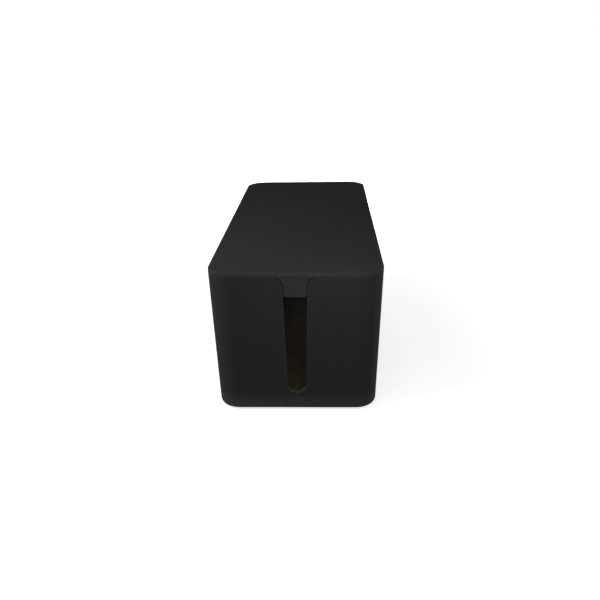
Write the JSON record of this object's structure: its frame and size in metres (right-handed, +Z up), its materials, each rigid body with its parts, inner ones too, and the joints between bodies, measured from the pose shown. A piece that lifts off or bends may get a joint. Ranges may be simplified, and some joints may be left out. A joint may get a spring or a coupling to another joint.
{
  "type": "cable management box",
  "caption": "Long box with rounded corners and walls that taper towards the base, a flush lift-off lid, and a tall U-shaped cable slot in each end wall. Stands on rubber feet.",
  "frame": {"origin": "centre of the box in plan, on the surface that its feet stand on", "axes": "+X across the box, +Y along the box from the front slot to the rear slot, +Z up"},
  "size_m": [0.157, 0.407, 0.135],
  "materials": {
    "tub_plastic": "matte, finely textured black",
    "lid_plastic": "matte, finely textured black",
    "foot_rubber": "matte black rubber"
  },
  "bodies": {
    "tub": {"tub": "tub_plastic", "foot_front_left": "foot_rubber", "foot_front_right": "foot_rubber", "foot_rear_left": "foot_rubber", "foot_rear_right": "foot_rubber"},
    "lid": {"lid": "lid_plastic"}
  },
  "joints": [
    {"name": "lid_lift", "type": "slide", "parent": "tub", "child": "lid", "axis": [0, 0, 1], "range_m": [0, 0.12]}
  ]
}
